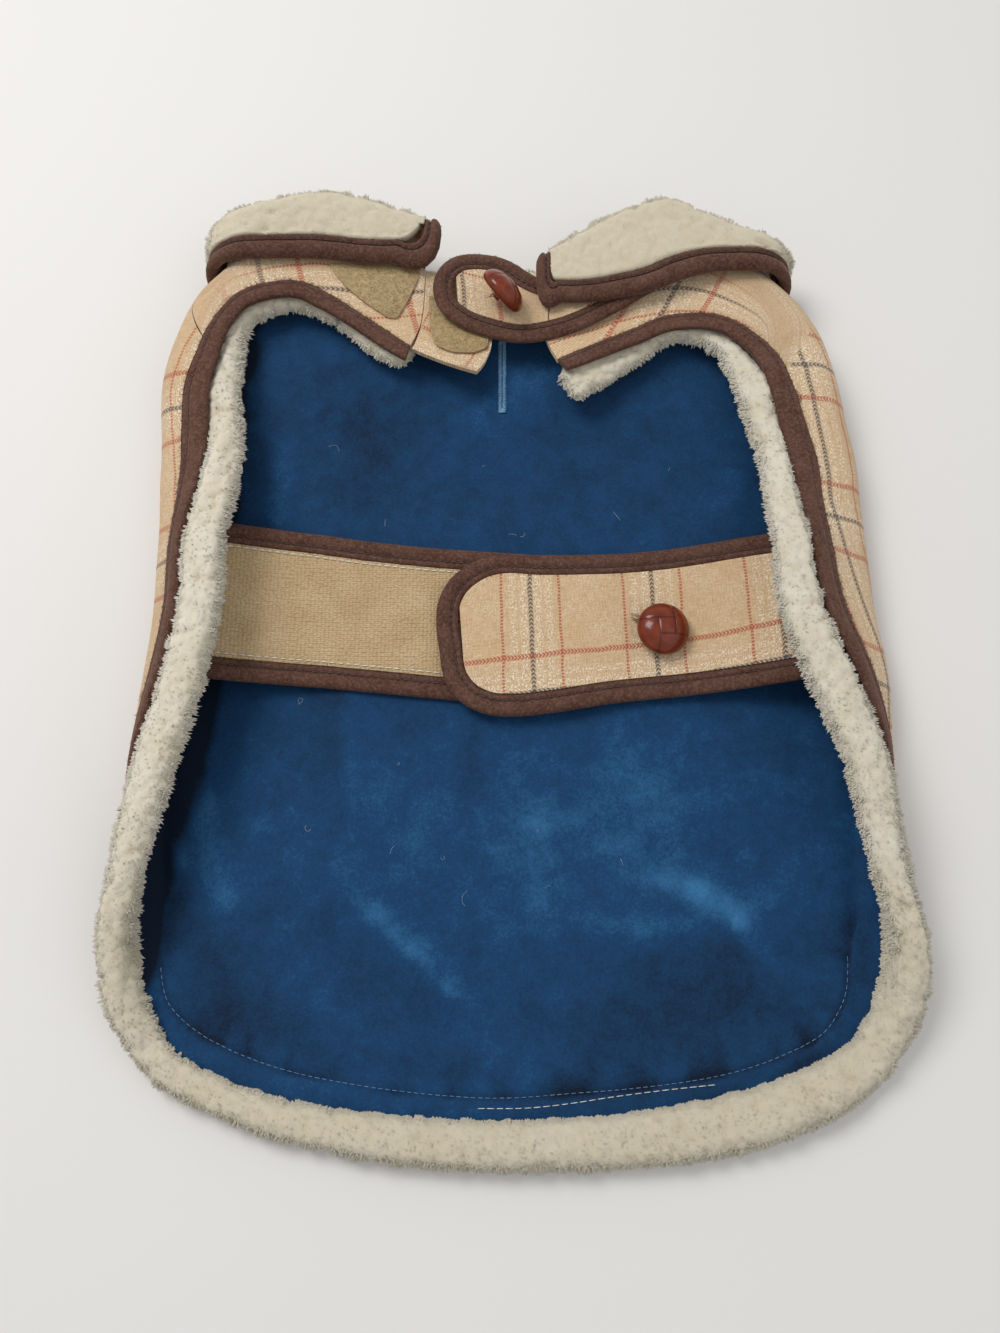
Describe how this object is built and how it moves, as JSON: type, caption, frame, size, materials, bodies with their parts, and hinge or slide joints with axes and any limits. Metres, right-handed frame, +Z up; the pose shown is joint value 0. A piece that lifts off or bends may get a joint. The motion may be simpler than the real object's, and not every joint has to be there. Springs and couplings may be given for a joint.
{
  "type": "dog winter coat",
  "caption": "Small dog's winter coat lying open on its back: check cloth shell, blue velvet lining, cream sherpa trim, bound collar, throat tab, belly strap, domed shank buttons.",
  "frame": {"origin": "on the flat underside of the coat's back, in the middle of its width, 166 mm above the rump hem", "axes": "+X to the right across the coat as it is looked at from above, +Y from the rump to the neck, +Z up from the surface it lies on"},
  "size_m": [0.2867, 0.3808, 0.0448],
  "materials": {
    "check_cloth": "brushed wool-blend windowpane check, beige with slate and brick-red lines, dry and matte",
    "velvet_lining": "deep blue brushed velvet with a soft nap sheen",
    "sherpa": "cream curled sherpa pile",
    "suede_binding": "brown suede cloth binding with a fine nap",
    "loop_tape": "tan brushed hook-and-loop tape",
    "loop_patch": "olive-tan hook-and-loop patch with shiny filaments",
    "button": "reddish brown polished moulded plastic",
    "slit_thread": "light blue satin stitching"
  },
  "bodies": {
    "root": {"shell_back": "check_cloth", "chest_flap_left": "check_cloth", "chest_flap_right": "check_cloth", "underlap": "check_cloth", "neck_tab": "check_cloth", "belly_strap_right": "check_cloth", "lining": "velvet_lining", "hem_sherpa_left": "sherpa", "hem_sherpa_rump": "sherpa", "hem_sherpa_right": "sherpa", "collar_sherpa": "sherpa", "hem_band": "suede_binding", "collar_binding": "suede_binding", "neck_tab_binding": "suede_binding", "belly_strap_right_binding": "suede_binding", "belly_strap_left_binding_top": "suede_binding", "belly_strap_left_binding_bottom": "suede_binding", "belly_strap_left": "loop_tape", "flap_loop_patch": "loop_patch", "underlap_loop_patch": "loop_patch", "belly_button": "button", "neck_button": "button", "leash_slit": "slit_thread"}
  },
  "joints": []
}
